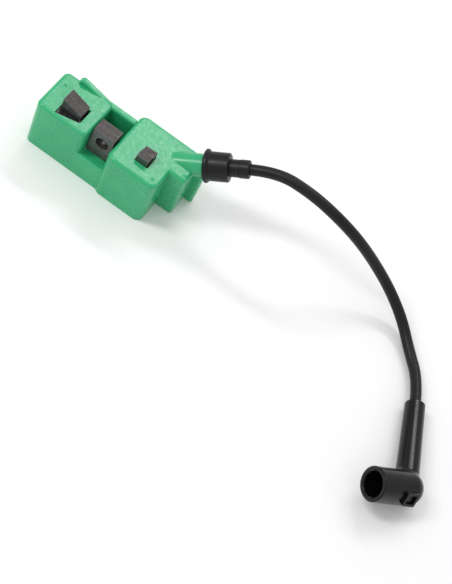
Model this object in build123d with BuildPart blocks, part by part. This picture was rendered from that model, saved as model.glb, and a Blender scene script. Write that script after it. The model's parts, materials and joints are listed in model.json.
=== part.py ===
"""Ignition module of a small engine: moulded housing, laminated E-core, coils, electronics,
high-tension lead and spark plug boot.

Millimetres. +X runs along the housing towards the lead, +Y to the rear (engine) side and
+Z towards the flywheel. The module lies on its potted underside at Z = 0, and the origin is the
middle of the module's footprint. Housing and core sizes are counted from the housing's left front
bottom corner: the planes level() and upright() put a sketch's zero there.
"""
from math import cos, pi, radians, sin, tan
from build123d import *
import os

os.makedirs("parts", exist_ok=True)

# ---------------------------------------------------------------- driving dimensions
corner_x = -44.62  # the housing's left front bottom corner, seen from the origin
corner_y = -14.48

# Housing
housing_height = 28.4
roof = 2.4
shelf_roof = 2.0
left_x = (-0.7, 24.6)
left_y = (0, 22.0)
left_lean = 1.9  # the front face stands this far out at the top
left_corner = 2.8
right_x = (36.4, 61.2)
right_y = (-1.3, 27.1)
right_lean = 2.0
right_corner = 3.6
edge_round = 1.5
shelf_x = (20.6, 41.4)  # both ends inside the blocks
shelf_back = 20.7
shelf_height = 14.5
shelf_lean = 0.9
shelf_round = 0.8
plate_x = (6.5, 36.6)
plate_y = (19.7, 22.4)
plate_peak = 31.1
plate_level = 27.7
plate_bend = 21.6  # the plate's top slopes down to here from its peak
plate_corner = 1.6
plate_round = 1.1
plate_edge = 1.0
outlet_x1 = 69.2  # the right block reaches out to here under the tower
outlet_front = 12.6
outlet_lean = 3.4
outlet_corner = 1.3
rib_x1 = 73.2
rib_y = (24.2, 27.1)
rib_lean = 2.6
rib_height = 22.0
rib_corner = 1.2
left_hollow = ((1.8, 22.8), (1.8, 19.4), 1.2)  # x, y and corner radius
right_hollow = ((38.5, 59.2), (0.6, 24.6), 1.6)
yoke_hollow = ((20.0, 41.0), (3.9, 11.5))
pour_low = 0.6  # the potting resin stands back this far from the rim
pour_high = 3.2
pip_radius = 0.9
pip_height = 0.3

# Laminated core
core_y = (4.2, 7.7, 11.2)  # front, split between the two packs, back
yoke_z = (3.6, 10.9)
gap = 0.3  # between the core and the housing's windows
slip = 0.05  # between the mounting leg and the slot that holds it
left_window = ((7.8, -0.4), (19.0, 2.5), (19.0, 11.35), (7.8, 11.35))
left_leg = (8.2, 17.9)
left_leg_tops = (33.7, 30.3)
mount_leg = (25.2, 35.6)
mount_leg_top = 29.3
right_leg = (46.5, 52.3)
right_leg_tops = (31.4, 31.9)
pack_shift = 0.4  # the rear pack sits this far to the right at the right-hand pole
hole_x = 30.75
hole_z = 23.4
hole_radius = 3.2
rivet_radius = 1.1
rivet_x = (21.6, 40.9)
rivet_z = 7.2

# Pole strips in front of the left leg
strip_count = 10
strip_pitch = 1.04
strip_width = 0.98
strip_x0 = 8.2
strip_z = (22.0, 28.1)
strip_fronts = (0.1, 2.8)  # front edges of the first and the last strip
strip_back = 4.1

# Mould pips on the skin: x, y, z and the way each faces
pips = (
    (3.2, 14.6, housing_height, (0, 0, 1)),
    (57.6, 0.9, housing_height, (0, 0, 1)),
    (67.2, 12.2, housing_height, (0, 0, 1)),
    (55.5, -2.1, 12.8, (0, -1, 0)),
)

# Blade terminal of the stop circuit, in the rear wall near the underside
terminal_y = (17.0, 28.2)
terminal_middle = (13.0, 7.0)
terminal_blade = (4.8, 0.8)

# High-tension tower, its rubber cap and the lead
lead_exit = (43.45, 13.92, 37.6)
tower_turn = 19.3  # degrees from +X towards +Y, seen from above
tower_rise = 24.4  # degrees above level
tower_radius = 5.0
tower_root_radius = 5.3
tower_bore = 2.6
tower_depth = 19.0  # the tower's root, back from the cap's start
bore_depth = 17.0
cap_length = 19.3
bead_radius = 7.35
cap_radius = 6.35
cap_shoulder = 10.55
cap_grip = 8.0  # length of tower inside the cap
cap_lip = 0.6  # the bead reaches this far back past the cap's start
sleeve_radius = 3.85
collar_radius = 4.05
collar_length = 4.2
lead_radius = 2.5
wire_radius = 0.8

# Spark plug boot: the arm runs from the lead's entry down to the elbow, where it meets the socket
lead_entry = (159.31, -11.38, 4.45)
arm_turn = 109.0
arm_rise = -4.3
arm_length = 42.0
arm_end_radius = 4.5
arm_root_radius = 5.15
arm_bore = 2.56
socket_turn = -138.7
socket_rise = 20.5
socket_length = 19.7
socket_radius = 7.4
socket_blend = 3.0  # fillet between the arm and the socket
socket_bore = 5.35
rim_bevel = 0.5
socket_floor = 3.2  # the bore's floor, seen from the elbow along the socket
spring_bore = 4.0
spring_depth = 4.2  # the spring chamber's end wall, behind the elbow
spring_radius = 3.1  # middle of the wire
spring_wire = 0.4
spring_pitch = 1.7
spring_height = 6.0
spike_length = 4.0
elbow_clearance = 9.0  # the lead's cut end stops this far from the elbow

# ---------------------------------------------------------------- frames and helpers


def level(z):
    """Horizontal plane at height z, with its zero at the housing's left front corner."""
    return Plane(origin=(corner_x, corner_y, z))


def upright(y):
    """Upright plane y behind the housing's front: x to the right, y up, normal to the front."""
    return Plane(origin=(corner_x, corner_y + y, 0), x_dir=(1, 0, 0), z_dir=(0, -1, 0))


def direction(turn, rise):
    """Unit vector from a turn in plan and a rise above level, both in degrees."""
    flat = cos(radians(rise))
    return Vector(flat * cos(radians(turn)), flat * sin(radians(turn)), sin(radians(rise)))


def write(part, name):
    """Label a finished piece and write its STEP file."""
    part.label = name
    export_step(part, f"parts/{name}.step")


def centre(span):
    """Middle of a (low, high) pair."""
    return (span[0] + span[1]) / 2


def ring_block(plane, middle, outer, inner, height, corner):
    """Straight rectangular tube with rounded corners, such as a winding or a bobbin wall."""
    with BuildPart() as ring:
        with BuildSketch(plane):
            with Locations(middle):
                RectangleRounded(outer[0], outer[1], corner)
                Rectangle(inner[0], inner[1], mode=Mode.SUBTRACT)
        extrude(amount=height)
    return ring.part


def drafted_block(x, y, lean, height, corner):
    """Upright block with round corners whose front face leans out by lean at the top."""
    with BuildPart() as block:
        for z, front in ((0, y[0]), (height, y[0] - lean)):
            with BuildSketch(level(z)):
                with Locations((centre(x), (front + y[1]) / 2)):
                    RectangleRounded(x[1] - x[0], y[1] - front, corner)
        loft(ruled=True)
    return block.part


def hollow_sketch(x, y, corner=0.0):
    """Rectangle from x[0] to x[1] and y[0] to y[1] in the open sketch, with round corners if corner is given."""
    with Locations((centre(x), centre(y))):
        if corner:
            RectangleRounded(x[1] - x[0], y[1] - y[0], corner)
        else:
            Rectangle(x[1] - x[0], y[1] - y[0])


tower_axis = direction(tower_turn, tower_rise)
cap_start = Vector(*lead_exit) - tower_axis * cap_length
tower_plane = Plane(origin=cap_start, z_dir=tower_axis)
arm_axis = direction(arm_turn, arm_rise)
socket_axis = direction(socket_turn, socket_rise)
elbow_point = Vector(*lead_entry) - arm_axis * arm_length
arm_plane = Plane(origin=elbow_point, z_dir=arm_axis)
socket_plane = Plane(origin=elbow_point, z_dir=socket_axis)
socket_mouth = elbow_point + socket_axis * socket_length

# ---------------------------------------------------------------- housing
with BuildPart() as left_block:
    add(drafted_block(left_x, left_y, left_lean, housing_height, left_corner))
    fillet(left_block.faces().sort_by(Axis.Z)[-1].edges(), edge_round)

with BuildPart() as right_block:
    add(drafted_block(right_x, right_y, right_lean, housing_height, right_corner))
    add(
        drafted_block(
            (centre(right_x), outlet_x1), (outlet_front, right_y[1]), outlet_lean, housing_height, outlet_corner
        )
    )
    fillet(right_block.faces().sort_by(Axis.Z)[-1].outer_wire().edges(), edge_round)

with BuildPart() as shelf_block:
    with BuildSketch(Plane(origin=(corner_x + shelf_x[0], corner_y, 0), x_dir=(0, 1, 0), z_dir=(1, 0, 0))):
        with BuildLine():
            Polyline(
                (0, 0), (-shelf_lean, shelf_height), (shelf_back, shelf_height), (shelf_back, 0), close=True,
            )
        make_face()
    extrude(amount=shelf_x[1] - shelf_x[0])
    fillet(shelf_block.edges().filter_by(Axis.X).group_by(Axis.Z)[-1].sort_by(Axis.Y)[0], shelf_round)

with BuildPart() as rib_block:
    add(drafted_block((centre(right_x), rib_x1), rib_y, rib_lean, rib_height, rib_corner))

with BuildPart() as back_plate:
    with BuildSketch(upright(plate_y[0])):
        with BuildLine():
            FilletPolyline(
                (plate_x[0], 0), (plate_x[1], 0), (plate_x[1], plate_level),
                (plate_bend, plate_level), (plate_x[0] + plate_corner, plate_peak),
                (plate_x[0], plate_peak - plate_corner),
                radius=plate_round, close=True,
            )
        make_face()
    extrude(amount=plate_y[0] - plate_y[1])
    plate_rim = back_plate.faces().sort_by(Axis.Y)[0].edges().filter_by(lambda edge: edge.center().Z > rib_height)
    fillet(plate_rim, plate_edge)


def pip(place, facing):
    """Low round pip on the housing's skin."""
    ball = (pip_radius**2 + pip_height**2) / (2 * pip_height)
    with BuildPart(Plane(origin=Vector(*place) + Vector(*facing) * (pip_height - ball))) as dome:
        Sphere(ball)
    return dome.part


with BuildPart() as housing:
    add(left_block.part)
    add(right_block.part)
    add(rib_block.part)
    add(back_plate.part)
    add(shelf_block.part)
    # Tower, a little conical below the cap
    with BuildSketch(tower_plane.offset(-tower_depth)):
        Circle(tower_root_radius)
    with BuildSketch(tower_plane.offset(-cap_lip)):
        Circle(tower_radius)
    loft()
    with BuildSketch(tower_plane.offset(-cap_lip)):
        Circle(tower_radius)
    extrude(amount=cap_grip + cap_lip)
    # Hollow inside, open underneath
    with BuildSketch(level(0)):
        hollow_sketch(*left_hollow)
        hollow_sketch(*right_hollow)
    extrude(amount=housing_height - roof, mode=Mode.SUBTRACT)
    with BuildSketch(level(0)):
        hollow_sketch(*yoke_hollow)
    extrude(amount=shelf_height - shelf_roof, mode=Mode.SUBTRACT)
    # Bore for the lead, from the hollow out through the tower
    with BuildSketch(tower_plane.offset(-bore_depth)):
        Circle(tower_bore)
    extrude(amount=bore_depth + cap_grip, mode=Mode.SUBTRACT)
    # Window of the left pole: slanted in front, where the pole strips stand
    with BuildSketch(level(strip_z[0] - gap)):
        with BuildLine():
            Polyline(*left_window, close=True)
        make_face()
    extrude(amount=housing_height - strip_z[0] + 1, mode=Mode.SUBTRACT)
    # Slot of the mounting leg, and the window of the right pole
    with BuildSketch(level(shelf_height - shelf_roof - 1)):
        hollow_sketch((mount_leg[0] - slip, mount_leg[1] + slip), (core_y[0] - slip, core_y[2] + slip))
    extrude(amount=shelf_roof + 2, mode=Mode.SUBTRACT)
    with BuildSketch(level(housing_height - roof - 1)):
        hollow_sketch((right_leg[0] - gap, right_leg[1] + pack_shift + gap), (core_y[0] - gap, core_y[2] + gap))
    extrude(amount=roof + 2, mode=Mode.SUBTRACT)
    # Slot for the stop terminal in the rear wall
    with BuildSketch(upright(terminal_y[0])):
        with Locations(terminal_middle):
            Rectangle(*terminal_blade)
    extrude(amount=terminal_y[0] - terminal_y[1], mode=Mode.SUBTRACT)
    # Mould pips
    for x, y, z, facing in pips:
        add(pip((corner_x + x, corner_y + y, z), facing))
write(housing.part, "housing")

# ---------------------------------------------------------------- potting resin
with BuildPart() as potting:
    with BuildSketch(level(pour_low)):
        hollow_sketch(*left_hollow)
        hollow_sketch(*right_hollow)
        hollow_sketch(*yoke_hollow)
    extrude(amount=pour_high - pour_low)
write(potting.part, "potting")

# ---------------------------------------------------------------- laminated core


def core_pack(y0, y1, shift):
    """One pack of E-shaped laminations between y0 and y1, with the right pole moved by shift."""
    with BuildPart() as pack:
        with BuildSketch(upright(y0)):
            with BuildLine():
                Polyline(
                    (left_leg[0], yoke_z[0]), (right_leg[1] + shift, yoke_z[0]),
                    (right_leg[1] + shift, right_leg_tops[1]), (right_leg[0] + shift, right_leg_tops[0]),
                    (right_leg[0] + shift, yoke_z[1]), (mount_leg[1], yoke_z[1]),
                    (mount_leg[1], mount_leg_top), (mount_leg[0], mount_leg_top),
                    (mount_leg[0], yoke_z[1]), (left_leg[1], yoke_z[1]),
                    (left_leg[1], left_leg_tops[1]), (left_leg[0], left_leg_tops[0]), close=True,
                )
            make_face()
            with Locations((hole_x, hole_z)):
                Circle(hole_radius, mode=Mode.SUBTRACT)
            with Locations((rivet_x[0], rivet_z), (rivet_x[1], rivet_z)):
                Circle(rivet_radius, mode=Mode.SUBTRACT)
        extrude(amount=y0 - y1)
    return pack.part


write(core_pack(core_y[0], core_y[1], 0), "core_pack_front")
write(core_pack(core_y[1], core_y[2], pack_shift), "core_pack_rear")

with BuildPart() as core_rivets:
    with BuildSketch(upright(core_y[0])):
        with Locations((rivet_x[0], rivet_z), (rivet_x[1], rivet_z)):
            Circle(rivet_radius)
    extrude(amount=core_y[0] - core_y[2])
write(core_rivets.part, "core_rivets")

with BuildPart() as pole_strips:
    for index in range(strip_count):
        share = index / (strip_count - 1)
        front = strip_fronts[0] + share * (strip_fronts[1] - strip_fronts[0])
        with BuildSketch(level(strip_z[0])):
            with Locations((strip_x0 + strip_width / 2 + index * strip_pitch, (front + strip_back) / 2)):
                Rectangle(strip_width, strip_back - front)
        extrude(amount=strip_z[1] - strip_z[0])
write(pole_strips.part, "pole_strips")

# ---------------------------------------------------------------- coils
left_middle = (centre(left_leg), centre((core_y[0], core_y[2])))
right_middle = (centre((right_leg[0] - gap, right_leg[1] + pack_shift + gap)), left_middle[1])
coil_base = 11.3  # the underside of every bobbin, above the yoke
flange_thickness = 0.8
wound_from = 0.85  # a winding starts this far above its flange's underside
left_tube = (11.74, 9.04)  # bore of the windings round the left bobbin's tube


def bobbin(middle, bore, wall, flange, levels):
    """Winding former: a rectangular tube with a flange at each of the given levels."""
    outer = (bore[0] + 2 * wall, bore[1] + 2 * wall)
    with BuildPart() as former:
        add(ring_block(level(levels[0]), middle, outer, bore, levels[-1] - levels[0] + flange_thickness, 0.6))
        for z in levels:
            add(ring_block(level(z), middle, flange, bore, flange_thickness, 1.0))
    return former.part


charge_levels = (coil_base, 17.5, 20.7)
write(
    bobbin(left_middle, (10.3, 7.6), 0.7, (14.5, 11.5), charge_levels),
    "charge_bobbin",
)
write(
    ring_block(level(charge_levels[0] + wound_from), left_middle, (14.0, 11.0), left_tube, 5.3, 1.0),
    "charge_winding",
)
write(
    ring_block(level(charge_levels[1] + wound_from), left_middle, (13.6, 10.6), left_tube, 2.3, 1.0),
    "trigger_winding",
)
write(
    bobbin(right_middle, (6.9, 7.5), 0.4, (9.3, 9.9), (coil_base, 24.3)),
    "primary_bobbin",
)
write(
    ring_block(level(coil_base + wound_from), right_middle, (9.1, 9.7), (7.74, 8.34), 12.1, 0.7),
    "primary_winding",
)
secondary_pitch = 3.25
secondary_levels = tuple(coil_base + secondary_pitch * index for index in range(5))
write(
    bobbin(right_middle, (9.4, 10.0), 0.5, (16.6, 13.6), secondary_levels),
    "secondary_bobbin",
)
with BuildPart() as secondary_winding:
    for z in secondary_levels[:-1]:
        add(ring_block(level(z + wound_from), right_middle, (15.6, 12.8), (10.44, 11.04), 2.35, 0.9))
write(secondary_winding.part, "secondary_winding")

# ---------------------------------------------------------------- electronics
board_y = 15.2
board_back = 16.3
board_size = (17.4, 19.6)
capacitor_size = (12.4, 10.6, 6.6)
thyristor_radius = 2.3
thyristor_length = 4.8
diode_radius = 1.35
diode_length = 5.2
resistor_radius = 1.15
resistor_length = 6.2

with BuildPart() as circuit_board:
    with BuildSketch(upright(board_y)):
        with Locations((47.6, 14.0)):
            Rectangle(*board_size)
    extrude(amount=board_y - board_back)
write(circuit_board.part, "circuit_board")

with BuildPart() as storage_capacitor:
    with BuildSketch(upright(board_back)):
        with Locations((45.6, 17.6)):
            RectangleRounded(capacitor_size[0], capacitor_size[1], 0.8)
    extrude(amount=-capacitor_size[2])
write(storage_capacitor.part, "storage_capacitor")

with BuildPart() as thyristor:
    with BuildSketch(level(12.8)):
        with Locations((54.3, board_back + thyristor_radius)):
            Circle(thyristor_radius)
            with Locations((0, -1.3)):
                Rectangle(2 * thyristor_radius, 2.0)
    extrude(amount=thyristor_length)
write(thyristor.part, "thyristor")

with BuildPart() as diodes:
    for z in (5.6, 9.4):
        with BuildSketch(Plane(origin=(corner_x + 41.2, corner_y + board_back + 1.4, z), z_dir=(1, 0, 0))):
            Circle(diode_radius)
        extrude(amount=diode_length)
write(diodes.part, "diodes")

with BuildPart() as resistors:
    for x in (49.4, 52.4):
        with BuildSketch(level(5.0)):
            with Locations((x, board_back + 1.2)):
                Circle(resistor_radius)
        extrude(amount=resistor_length)
write(resistors.part, "resistors")

with BuildPart() as stop_terminal:
    with BuildSketch(upright(terminal_y[0])):
        with Locations(terminal_middle):
            Rectangle(*terminal_blade)
    extrude(amount=terminal_y[0] - terminal_y[1])
write(stop_terminal.part, "stop_terminal")

# ---------------------------------------------------------------- high-tension outlet
terminal_seat = 12.4  # back of the cup's disc, back from the cap's start
terminal_disc = (1.9, 1.2)  # radius and thickness
terminal_pin = (0.75, 0.15)  # radius at the disc and at the point
root_depth = 6.4  # the lead's end, back from the cap's start

with BuildPart() as ht_terminal:
    with BuildSketch(tower_plane.offset(-terminal_seat)):
        Circle(terminal_disc[0])
    extrude(amount=terminal_disc[1])
    with BuildSketch(tower_plane.offset(terminal_disc[1] - terminal_seat)):
        Circle(terminal_pin[0])
    with BuildSketch(tower_plane.offset(-root_depth - 0.2)):
        Circle(terminal_pin[1])
    loft()
write(ht_terminal.part, "ht_terminal")

terminal_back = cap_start - tower_axis * terminal_seat
coil_tap = Vector(corner_x + right_middle[0] + 8.6, corner_y + right_middle[1] + 2.0, 22.4)
ht_wire_radius = 0.35
bore_mouth = cap_start - tower_axis * 16.0
with BuildPart() as ht_wire:
    with BuildLine() as ht_route:
        FilletPolyline(coil_tap, bore_mouth, terminal_back, radius=2)
    with BuildSketch(Plane(origin=coil_tap, z_dir=bore_mouth - coil_tap)):
        Circle(ht_wire_radius)
    sweep(path=ht_route.line)
write(ht_wire.part, "ht_wire")


def lead_piece(start, axis, length, name):
    """Straight end of the lead: the insulation and the wire in it, as two nodes."""
    plane = Plane(origin=start, z_dir=axis)
    with BuildPart() as jacket:
        with BuildSketch(plane):
            Circle(lead_radius)
            Circle(wire_radius, mode=Mode.SUBTRACT)
        extrude(amount=length)
    write(jacket.part, f"lead_{name}")
    with BuildPart() as wire:
        with BuildSketch(plane):
            Circle(wire_radius)
        extrude(amount=length)
    write(wire.part, f"wire_{name}")


lead_piece(cap_start - tower_axis * root_depth, tower_axis, root_depth + cap_length, "root")

with BuildPart() as tower_cap:
    with BuildSketch(Plane(origin=cap_start, x_dir=tower_plane.x_dir, z_dir=-tower_plane.y_dir)):
        with BuildLine():
            Polyline(
                (lead_radius, cap_grip), (tower_radius, cap_grip), (tower_radius, -cap_lip),
                (bead_radius - 0.9, -cap_lip), (bead_radius, 0.1), (bead_radius, 1.0),
                (cap_radius, 2.0), (cap_radius, cap_shoulder - 0.5), (cap_radius - 0.5, cap_shoulder),
                (sleeve_radius, cap_shoulder + 0.2), (sleeve_radius, cap_length - collar_length - 0.3),
                (sleeve_radius - 0.25, cap_length - collar_length - 0.2),
                (sleeve_radius - 0.25, cap_length - collar_length), (collar_radius, cap_length - collar_length),
                (collar_radius, cap_length - 0.4), (collar_radius - 0.4, cap_length),
                (lead_radius, cap_length), close=True,
            )
        make_face()
    revolve(axis=Axis(cap_start, tower_axis))
write(tower_cap.part, "tower_cap")

# ---------------------------------------------------------------- lead
lead_route = [
    lead_exit,
    (53.76, 17.53, 42.56),
    (70.65, 17.12, 44.4),
    (85.65, 17.02, 41.9),
    (98.75, 20.12, 33.9),
    (110.25, 23.72, 23.4),
    (122.75, 25.02, 13.2),
    (134.95, 21.12, 6.1),
    (144.65, 12.32, 2.9),
    (155.19, 0.59, 3.5),
    lead_entry,
]


def bend_radii(route):
    """Each corner's radius: 0.45 of its shorter run over the tangent of half the turn."""
    points = [Vector(*point) for point in route]
    radii = []
    for before, corner, after in zip(points, points[1:], points[2:]):
        turn = (corner - before).get_angle(after - corner)
        shorter = min((corner - before).length, (after - corner).length)
        radii.append(0.45 * shorter / tan(radians(turn / 2)))
    return radii


lead_radii = bend_radii(lead_route)
with BuildPart() as ignition_lead:
    with BuildLine() as lead_path:
        FilletPolyline(*lead_route, radius=lead_radii)
    with BuildSketch(Plane(origin=lead_exit, z_dir=Vector(*lead_route[1]) - Vector(*lead_exit))):
        Circle(lead_radius)
    sweep(path=lead_path.wire())
write(ignition_lead.part, "ignition_lead")
lead_length = lead_path.wire().length
print("lead radii", [round(radius, 1) for radius in lead_radii])
print("lead length", round(lead_length, 1))
print("tube volume", round(ignition_lead.part.volume), "for", round(pi * lead_radius**2 * lead_length))

tail_length = arm_length - elbow_clearance
lead_piece(Vector(*lead_entry), -arm_axis, tail_length, "tail")

# ---------------------------------------------------------------- spark plug boot
socket_side = Vector(0, 0, 1).cross(socket_axis).normalized()  # level, square to the socket
tab_turn = 32.0  # degrees from level, towards the top of the socket
tab_height = 8.6  # outer face of the pull tab, from the socket's axis
tab_middle = (3.6, 0.2)  # along the socket from the elbow, and across it
tab_size = (6.9, 6.4)
tab_recess = (4.7, 4.2, 1.2)
tab_normal = socket_side.rotate(Axis((0, 0, 0), socket_axis), tab_turn)
tab_plane = Plane(origin=elbow_point, x_dir=socket_axis, z_dir=tab_normal)

with BuildPart() as plug_boot:
    # Socket with a rounded closed end
    with BuildSketch(Plane(origin=elbow_point, x_dir=socket_plane.x_dir, z_dir=-socket_plane.y_dir)):
        with BuildLine():
            Polyline(
                (0, -socket_radius), (0, socket_length),
                (socket_radius, socket_length), (socket_radius, 0),
            )
            RadiusArc((socket_radius, 0), (0, -socket_radius), socket_radius)
        make_face()
    revolve(axis=Axis(elbow_point, socket_axis))
    # Tapered arm, blended into the socket
    with BuildSketch(arm_plane):
        Circle(arm_root_radius)
    with BuildSketch(arm_plane.offset(arm_length)):
        Circle(arm_end_radius)
    loft()
    junction = plug_boot.edges().filter_by(
        lambda edge: 2 < (edge.center() - elbow_point).dot(arm_axis) < 12
        and edge.geom_type not in (GeomType.LINE, GeomType.CIRCLE)
    )
    fillet(junction, socket_blend)
    # Pull tab with a shallow recess
    with BuildSketch(tab_plane):
        with Locations(tab_middle):
            RectangleRounded(tab_size[0], tab_size[1], 0.7)
    extrude(amount=tab_height)
    with BuildSketch(tab_plane.offset(tab_height - tab_recess[2])):
        with Locations(tab_middle):
            RectangleRounded(tab_recess[0], tab_recess[1], 0.5)
    extrude(amount=tab_recess[2], mode=Mode.SUBTRACT)
    # Bores for the plug, the spring and the lead
    with BuildSketch(socket_plane.offset(socket_floor)):
        Circle(socket_bore)
    extrude(amount=socket_length, mode=Mode.SUBTRACT)
    with BuildSketch(socket_plane.offset(-spring_depth)):
        Circle(spring_bore)
    extrude(amount=socket_floor + spring_depth + 0.2, mode=Mode.SUBTRACT)
    with BuildSketch(arm_plane):
        Circle(arm_bore)
    extrude(amount=arm_length, mode=Mode.SUBTRACT)
    # Bevelled rims of the socket's mouth and of the arm's end
    rim = plug_boot.faces().filter_by(lambda face: (face.center() - socket_mouth).length < 0.5)[0]
    chamfer(rim.edges(), rim_bevel)
    cuff = plug_boot.faces().filter_by(lambda face: (face.center() - Vector(*lead_entry)).length < 0.5)[0]
    chamfer(cuff.edges().sort_by(SortBy.LENGTH)[-1], rim_bevel)
write(plug_boot.part, "plug_boot")

with BuildPart() as plug_spring:
    with BuildLine() as coil:
        Helix(
            pitch=spring_pitch, height=spring_height, radius=spring_radius,
            center=elbow_point - socket_axis * (spring_depth - 2 * spring_wire), direction=socket_axis,
        )
    with BuildSketch(Plane(origin=coil.wire() @ 0, z_dir=coil.wire() % 0)):
        Circle(spring_wire)
    sweep(path=coil.wire(), is_frenet=True)
write(plug_spring.part, "plug_spring")

with BuildPart() as lead_spike:
    with BuildSketch(Plane(origin=Vector(*lead_entry) - arm_axis * tail_length, z_dir=-arm_axis)):
        Circle(wire_radius)
    extrude(amount=spike_length)
write(lead_spike.part, "lead_spike")
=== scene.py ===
"""Ignition coil: looks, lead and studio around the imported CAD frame. Metres, in the CAD's own frame."""
import json
from math import radians

import bpy
from mathutils import Matrix, Vector


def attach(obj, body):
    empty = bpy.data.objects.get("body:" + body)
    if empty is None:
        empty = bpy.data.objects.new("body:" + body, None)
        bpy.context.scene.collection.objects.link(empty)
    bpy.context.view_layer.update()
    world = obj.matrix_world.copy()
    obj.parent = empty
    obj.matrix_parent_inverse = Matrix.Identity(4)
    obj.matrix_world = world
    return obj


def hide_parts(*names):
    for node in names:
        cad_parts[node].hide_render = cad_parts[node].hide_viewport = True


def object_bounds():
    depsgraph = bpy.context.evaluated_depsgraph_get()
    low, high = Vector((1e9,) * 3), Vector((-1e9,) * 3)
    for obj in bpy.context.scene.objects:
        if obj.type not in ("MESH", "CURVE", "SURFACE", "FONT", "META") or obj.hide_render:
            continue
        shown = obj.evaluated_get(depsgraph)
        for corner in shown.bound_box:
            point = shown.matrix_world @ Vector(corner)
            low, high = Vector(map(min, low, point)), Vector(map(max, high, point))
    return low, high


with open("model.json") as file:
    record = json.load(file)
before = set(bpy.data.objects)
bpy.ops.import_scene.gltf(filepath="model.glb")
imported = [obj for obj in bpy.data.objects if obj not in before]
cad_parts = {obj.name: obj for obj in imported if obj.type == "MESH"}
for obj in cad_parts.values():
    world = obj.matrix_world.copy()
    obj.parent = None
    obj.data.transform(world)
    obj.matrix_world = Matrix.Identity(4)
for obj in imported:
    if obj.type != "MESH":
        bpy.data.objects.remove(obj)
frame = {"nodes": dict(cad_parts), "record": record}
cad_low, cad_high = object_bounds()
nodes = frame["nodes"]

MM = 0.001

# ---------------------------------------------------------------- camera
CAMERA_PLACE = (0.08005, -0.36478, 0.4928)
CAMERA_AZIMUTH = 2.49  # degrees; 0 looks along +Y
CAMERA_ELEVATION = 54.87
CAMERA_ROLL = 33.71
CAMERA_LENS = 86.0  # millimetres
SENSOR_WIDTH = 36.0

camera_data = bpy.data.cameras.new("camera")
camera_data.lens = CAMERA_LENS
camera_data.sensor_width = SENSOR_WIDTH
camera_data.clip_start = 0.01
camera_data.clip_end = 20.0
camera = bpy.data.objects.new("camera", camera_data)
bpy.context.scene.collection.objects.link(camera)
camera.matrix_world = (
    Matrix.Translation(CAMERA_PLACE)
    @ Matrix.Rotation(radians(CAMERA_AZIMUTH), 4, "Z")
    @ Matrix.Rotation(radians(90 - CAMERA_ELEVATION), 4, "X")
    @ Matrix.Rotation(radians(CAMERA_ROLL), 4, "Z")
)
bpy.context.scene.camera = camera

# ---------------------------------------------------------------- the lead
LEAD_DIAMETER = 5 * MM
# Millimetres, from the tower's cap to the boot's arm. The points came out of fits to the photograph
# and were then changed.
LEAD_ROUTE = [
    (43.45, 13.92, 37.6),
    (53.76, 17.53, 42.56),
    (70.65, 17.12, 44.4),
    (85.65, 17.02, 41.9),
    (98.75, 20.12, 33.9),
    (110.25, 23.72, 23.4),
    (122.75, 25.02, 13.2),
    (134.95, 21.12, 6.1),
    (144.65, 12.32, 2.9),
    (155.19, 0.59, 3.5),
    (159.31, -11.38, 4.45),
]


def lead_spline(name, route, thickness):
    """Curve object of one open NURBS spline, with the route's points as its control points."""
    curve = bpy.data.curves.new(name, "CURVE")
    curve.dimensions = "3D"
    curve.resolution_u = 12
    curve.bevel_depth = thickness / 2
    curve.bevel_resolution = 8
    spline = curve.splines.new("NURBS")
    spline.points.add(len(route) - 1)
    for point, place in zip(spline.points, route):
        point.co = (*(Vector(place) * MM), 1.0)
    spline.order_u = 3
    spline.use_endpoint_u = True
    return bpy.data.objects.new(name, curve)


def lead_tube(name, route, diameter):
    """Tube mesh along the route's spline, and the spline's own points."""
    centre_line = lead_spline(name + "_line", route, 0.0)
    line = bpy.data.meshes.new_from_object(centre_line)
    path = [vertex.co.copy() for vertex in line.vertices]
    thick_line = lead_spline(name + "_tube", route, diameter)
    tube_mesh = bpy.data.meshes.new_from_object(thick_line)
    tube_mesh.shade_smooth()
    for scrap in (centre_line, thick_line):
        curve = scrap.data
        bpy.data.objects.remove(scrap)
        bpy.data.curves.remove(curve)
    bpy.data.meshes.remove(line)
    tube = bpy.data.objects.new(name, tube_mesh)
    bpy.context.scene.collection.objects.link(tube)
    return tube, path


lead, lead_path = lead_tube("lead", LEAD_ROUTE, LEAD_DIAMETER)
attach(lead, "module")
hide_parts("ignition_lead")

# ---------------------------------------------------------------- materials


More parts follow.
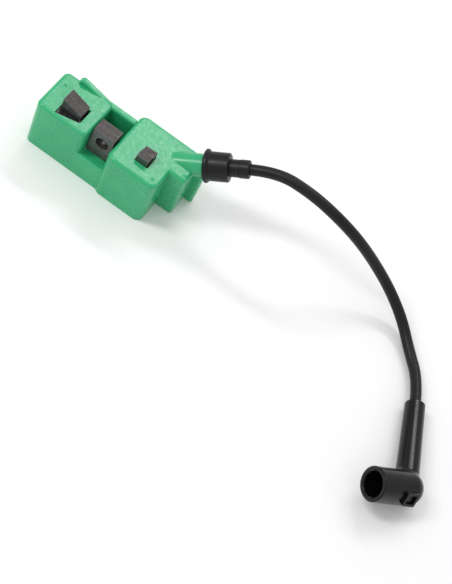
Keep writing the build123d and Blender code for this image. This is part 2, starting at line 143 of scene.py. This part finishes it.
class Shader:
    """A node material under construction: add() makes a node, sets its inputs and links its sources."""

    def __init__(self, name, colour, roughness, metallic=0.0):
        self.material = bpy.data.materials.new(name)
        self.material.use_nodes = True
        self.tree = self.material.node_tree
        self.surface = self.tree.nodes["Principled BSDF"]
        self.surface.inputs["Base Color"].default_value = (*colour, 1.0)
        self.surface.inputs["Roughness"].default_value = roughness
        self.surface.inputs["Metallic"].default_value = metallic
        self.material.diffuse_color = (*colour, 1.0)
        self.place = self.add("ShaderNodeTexCoord").outputs["Object"]
        self.bumps = None

    def add(self, kind, settings=None, **sources):
        node = self.tree.nodes.new(kind)
        for key, value in (settings or {}).items():
            setattr(node, key, value)
        for key, value in sources.items():
            self.connect(value, node.inputs[key.replace("_", " ")])
        return node

    def connect(self, value, socket):
        if isinstance(value, bpy.types.NodeSocket):
            self.tree.links.new(value, socket)
        else:
            socket.default_value = value

    def noise(self, size, detail=2.0, stretch=(1, 1, 1), roughness=0.5):
        """Noise from 0 to 1 with features about size metres across."""
        mapping = self.add("ShaderNodeMapping", Vector=self.place, Scale=[s / size for s in stretch])
        made = self.add("ShaderNodeTexNoise", Vector=mapping.outputs[0], Scale=1.0, Detail=detail,
                        Roughness=roughness)
        return made.outputs[0]

    def math(self, operation, first, second=0.0):
        node = self.add("ShaderNodeMath", {"operation": operation})
        self.connect(first, node.inputs[0])
        self.connect(second, node.inputs[1])
        return node.outputs[0]

    def span(self, value, low, high, to_low, to_high):
        """value from low..high spread over to_low..to_high, and held there outside it."""
        node = self.add("ShaderNodeMapRange", {"clamp": True})
        for socket, given in zip(node.inputs, (value, low, high, to_low, to_high)):
            self.connect(given, socket)
        return node.outputs[0]

    def mix(self, share, first, second):
        """Colour between first and second."""
        node = self.add("ShaderNodeMix", {"data_type": "RGBA"})
        self.connect(share, node.inputs[0])
        for given, socket in ((first, node.inputs[6]), (second, node.inputs[7])):
            self.connect(given if isinstance(given, bpy.types.NodeSocket) else (*given, 1.0), socket)
        return node.outputs[2]

    def bump(self, height, depth, strength=1.0):
        """Adds relief depth metres deep to the surface."""
        node = self.add("ShaderNodeBump", Height=height, Distance=depth, Strength=strength)
        if self.bumps is not None:
            self.tree.links.new(self.bumps, node.inputs["Normal"])
        self.bumps = node.outputs[0]
        self.tree.links.new(self.bumps, self.surface.inputs["Normal"])

    def edges(self, radius):
        """From 0 on the flats to 1 on edges sharper than radius metres."""
        rounded = self.add("ShaderNodeBevel", {"samples": 6}, Radius=radius).outputs[0]
        flat = self.add("ShaderNodeNewGeometry").outputs["Normal"]
        node = self.add("ShaderNodeVectorMath", {"operation": "DOT_PRODUCT"})
        self.tree.links.new(rounded, node.inputs[0])
        self.tree.links.new(flat, node.inputs[1])
        return self.span(node.outputs["Value"], 0.99, 0.75, 0.0, 1.0)

    def colour(self, value):
        self.tree.links.new(value, self.surface.inputs["Base Color"])

    def rough(self, value):
        self.tree.links.new(value, self.surface.inputs["Roughness"])


def moulded_green():
    """Semi-gloss moulded plastic with a fine mould grain, faint flow clouding and paler edges, which are
    painted highlight.
    """
    green = Shader("moulded_green", (0.045, 0.42, 0.20), 0.34)
    clouds = green.noise(9 * MM, 3.0)
    body = green.mix(green.span(clouds, 0.3, 0.7, 0.0, 1.0), (0.020, 0.365, 0.150), (0.028, 0.405, 0.172))
    specks = green.span(green.noise(0.35 * MM, 2.0), 0.62, 0.72, 0.0, 0.25)
    body = green.mix(specks, body, (0.04, 0.46, 0.22))
    # Paler edges: painted highlight along the rounded edges, broken up by noise.
    painted_edge_highlight = green.math(
        "MULTIPLY", green.edges(0.5 * MM), green.span(green.noise(2.5 * MM), 0.35, 0.65, 0.15, 0.7)
    )
    green.colour(green.mix(painted_edge_highlight, body, (0.16, 0.60, 0.38)))
    green.rough(green.span(green.noise(1.6 * MM, 3.0), 0.3, 0.7, 0.22, 0.34))
    green.bump(green.noise(0.22 * MM, 2.0), 0.006 * MM)
    green.bump(green.noise(5 * MM, 2.0), 0.05 * MM)
    green.surface.inputs["Specular IOR Level"].default_value = 0.5
    return green.material


LAMINATION = 0.5 * MM


def core_steel():
    """Laminations stacked along Y, with sheared, speckled brown-grey edges and smooth faces."""
    steel = Shader("core_steel", (0.12, 0.11, 0.105), 0.5, 0.55)
    across = steel.add("ShaderNodeSeparateXYZ", Vector=steel.place).outputs["Y"]
    sheets = steel.math("MULTIPLY", across, 1 / LAMINATION)
    gap = steel.math("PINGPONG", sheets, 0.5)
    line = steel.span(gap, 0.0, 0.12, 1.0, 0.0)
    sheet_tone = steel.add(
        "ShaderNodeTexWhiteNoise", {"noise_dimensions": "1D"}, W=steel.math("FLOOR", sheets)
    )
    normal = steel.add("ShaderNodeNewGeometry").outputs["True Normal"]
    facing = steel.math("ABSOLUTE", steel.add("ShaderNodeSeparateXYZ", Vector=normal).outputs["Y"])
    cut = steel.span(facing, 0.3, 0.7, 1.0, 0.0)
    grain = steel.noise(0.28 * MM, 3.0, roughness=0.65)
    patches = steel.noise(2.2 * MM, 3.0)
    brown = steel.mix(steel.span(grain, 0.35, 0.68, 0.0, 1.0), (0.035, 0.031, 0.032), (0.13, 0.118, 0.118))
    brown = steel.mix(steel.math("MULTIPLY", sheet_tone.outputs[0], 0.35), brown, (0.10, 0.085, 0.08))
    brown = steel.mix(steel.math("MULTIPLY", line, 0.55), brown, (0.03, 0.025, 0.024))
    glints = steel.span(steel.noise(0.16 * MM, 1.0), 0.70, 0.76, 0.0, 0.8)
    brown = steel.mix(glints, brown, (0.45, 0.40, 0.38))
    grey = steel.mix(steel.span(patches, 0.3, 0.7, 0.0, 1.0), (0.080, 0.090, 0.088), (0.13, 0.142, 0.138))
    # Paler edges: painted highlight along the sharp edges, broken up by the grain.
    painted_edge_highlight = steel.math("MULTIPLY", steel.edges(0.25 * MM), steel.span(grain, 0.4, 0.6, 0.3, 1.0))
    steel.colour(steel.mix(painted_edge_highlight, steel.mix(cut, grey, brown), (0.42, 0.38, 0.36)))
    steel.rough(steel.span(patches, 0.3, 0.7, 0.38, 0.58))
    steel.bump(steel.math("MULTIPLY", line, cut), -0.05 * MM)
    steel.bump(grain, 0.02 * MM)
    return steel.material


def rubber(name, colour, rough_low, rough_high, grain, depth):
    """Near-black moulded rubber with a fine skin, faint bloom and paler edges, which are painted highlight.
    """
    made = Shader(name, colour, rough_low)
    bloom = made.span(made.noise(4 * MM, 3.0), 0.4, 0.75, 0.0, 0.5)
    pale = tuple(c * 1.8 + 0.001 for c in colour)
    body = made.mix(bloom, colour, pale)
    # Paler edges: painted highlight along the edges, broken up by noise.
    painted_edge_highlight = made.math("MULTIPLY", made.edges(0.35 * MM), made.span(made.noise(1.2 * MM), 0.35, 0.65, 0.1, 0.8))
    made.colour(made.mix(painted_edge_highlight, body, tuple(c * 4 + 0.01 for c in colour)))
    made.rough(made.span(made.noise(1.1 * MM, 3.0), 0.3, 0.7, rough_low, rough_high))
    made.bump(made.noise(grain, 2.0), depth)
    made.bump(made.noise(6 * MM, 1.0), 0.04 * MM)
    made.surface.inputs["Specular IOR Level"].default_value = 0.28
    return made.material


def grained(name, colour, other, roughness, grain, depth, metallic=0.0, stretch=(1, 1, 1)):
    """A plain part's finish: two tones in a grain, with roughness and relief from it."""
    made = Shader(name, colour, roughness, metallic)
    tone = made.noise(grain, 3.0, stretch)
    made.colour(made.mix(made.span(tone, 0.35, 0.65, 0.0, 1.0), colour, other))
    made.rough(made.span(made.noise(grain * 5, 2.0), 0.3, 0.7, roughness - 0.08, roughness + 0.08))
    made.bump(tone, depth)
    return made.material


def wound(name, colour, other, pitch):
    """Enamelled wire, wound in level turns pitch apart."""
    made = Shader(name, colour, 0.3, 0.7)
    height = made.add("ShaderNodeSeparateXYZ", Vector=made.place).outputs["Z"]
    turn = made.math("PINGPONG", made.math("MULTIPLY", height, 1 / pitch), 0.5)
    # Darker between turns: painted shade in the grooves between the wires.
    made.colour(made.mix(made.span(turn, 0.0, 0.3, 0.0, 1.0), other, colour))
    made.bump(turn, pitch * 0.5)
    return made.material


BLACK_RUBBER = (0.0045, 0.0045, 0.0055)
finishes = {
    "green_plastic": moulded_green(),
    "resin": grained("potting_resin", (0.012, 0.012, 0.013), (0.02, 0.02, 0.022), 0.25, 3 * MM, 0.08 * MM),
    "core_steel": core_steel(),
    "strip_steel": grained(
        "strip_steel", (0.030, 0.030, 0.032), (0.075, 0.072, 0.072), 0.30, 0.3 * MM, 0.01 * MM, 0.8
    ),
    "rivet_steel": grained(
        "rivet_steel", (0.42, 0.41, 0.40), (0.30, 0.29, 0.28), 0.38, 0.4 * MM, 0.01 * MM, 1.0
    ),
    "bobbin_plastic": grained(
        "bobbin_plastic", (0.62, 0.58, 0.46), (0.55, 0.51, 0.40), 0.5, 0.5 * MM, 0.01 * MM
    ),
    "copper": wound("copper_wire", (0.55, 0.22, 0.09), (0.16, 0.05, 0.02), 0.2 * MM),
    "board": grained("board_laminate", (0.03, 0.15, 0.07), (0.05, 0.20, 0.09), 0.35, 0.6 * MM, 0.01 * MM),
    "capacitor_case": grained(
        "capacitor_dip", (0.32, 0.05, 0.03), (0.38, 0.07, 0.04), 0.28, 1.5 * MM, 0.05 * MM
    ),
    "black_epoxy": grained(
        "black_epoxy", (0.015, 0.015, 0.016), (0.03, 0.03, 0.03), 0.5, 0.3 * MM, 0.01 * MM
    ),
    "resistor_body": grained(
        "resistor_lacquer", (0.50, 0.38, 0.22), (0.42, 0.30, 0.16), 0.35, 0.6 * MM, 0.01 * MM
    ),
    "tinned_brass": grained(
        "tinned_brass", (0.62, 0.58, 0.48), (0.48, 0.43, 0.32), 0.32, 0.7 * MM, 0.01 * MM, 1.0
    ),
    "cap_rubber": rubber("cap_rubber", BLACK_RUBBER, 0.34, 0.46, 0.30 * MM, 0.010 * MM),
    "lead_jacket": rubber("lead_jacket", BLACK_RUBBER, 0.36, 0.48, 0.35 * MM, 0.008 * MM),
    "boot_rubber": rubber("boot_rubber", (0.0035, 0.0035, 0.0045), 0.17, 0.25, 0.40 * MM, 0.006 * MM),
    "spring_steel": grained(
        "spring_steel", (0.50, 0.50, 0.50), (0.36, 0.36, 0.36), 0.28, 0.3 * MM, 0.005 * MM, 1.0
    ),
}


def finish_piece(piece, slot):
    """Gives a piece one finish, in place of any material that it had."""
    piece.data.materials.clear()
    piece.data.materials.append(finishes[slot])


for subpart in frame["record"]["subparts"]:
    finish_piece(nodes[subpart["node"]], subpart["material_slot"])
finish_piece(nodes["pole_strips"], "strip_steel")
finish_piece(lead, "lead_jacket")

# ---------------------------------------------------------------- studio
FLOOR_SIZE = 6.0
FLOOR_DROP = 0.05 * MM  # keeps the floor clear of the module's underside
SKY_STRENGTH = 0.72


def studio_floor():
    mesh = bpy.data.meshes.new("floor")
    half = FLOOR_SIZE / 2
    low = cad_low.z - FLOOR_DROP
    corners = [(-half, -half, low), (half, -half, low), (half, half, low), (-half, half, low)]
    mesh.from_pydata(corners, [], [(0, 1, 2, 3)])
    floor = bpy.data.objects.new("floor", mesh)
    bpy.context.scene.collection.objects.link(floor)
    paper = Shader("white_paper", (0.93, 0.93, 0.93), 0.8)
    paper.colour(paper.mix(paper.noise(40 * MM, 3.0), (0.92, 0.92, 0.92), (0.94, 0.94, 0.94)))
    paper.surface.inputs["Specular IOR Level"].default_value = 0.2
    mesh.materials.append(paper.material)


def soft_light(name, place, aim, size, power):
    data = bpy.data.lights.new(name, "AREA")
    data.shape = "RECTANGLE"
    data.size, data.size_y = size
    data.energy = power
    lamp = bpy.data.objects.new(name, data)
    bpy.context.scene.collection.objects.link(lamp)
    lamp.location = place
    lamp.rotation_euler = (Vector(aim) - Vector(place)).to_track_quat("-Z", "Y").to_euler()


def studio_light():
    world = bpy.data.worlds.new("studio")
    bpy.context.scene.world = world
    world.use_nodes = True
    world.node_tree.nodes["Background"].inputs["Color"].default_value = (1.0, 1.0, 1.0, 1.0)
    world.node_tree.nodes["Background"].inputs["Strength"].default_value = SKY_STRENGTH
    middle = (cad_low + cad_high) / 2
    soft_light("front_softbox", middle + Vector((-0.54, -0.25, 0.80)), middle, (0.16, 0.45), 3.4)
    soft_light("rear_softbox", middle + Vector((-0.03, 0.62, 0.78)), middle, (0.60, 0.10), 2.2)


studio_floor()
studio_light()
bpy.context.scene.view_settings.view_transform = "Standard"
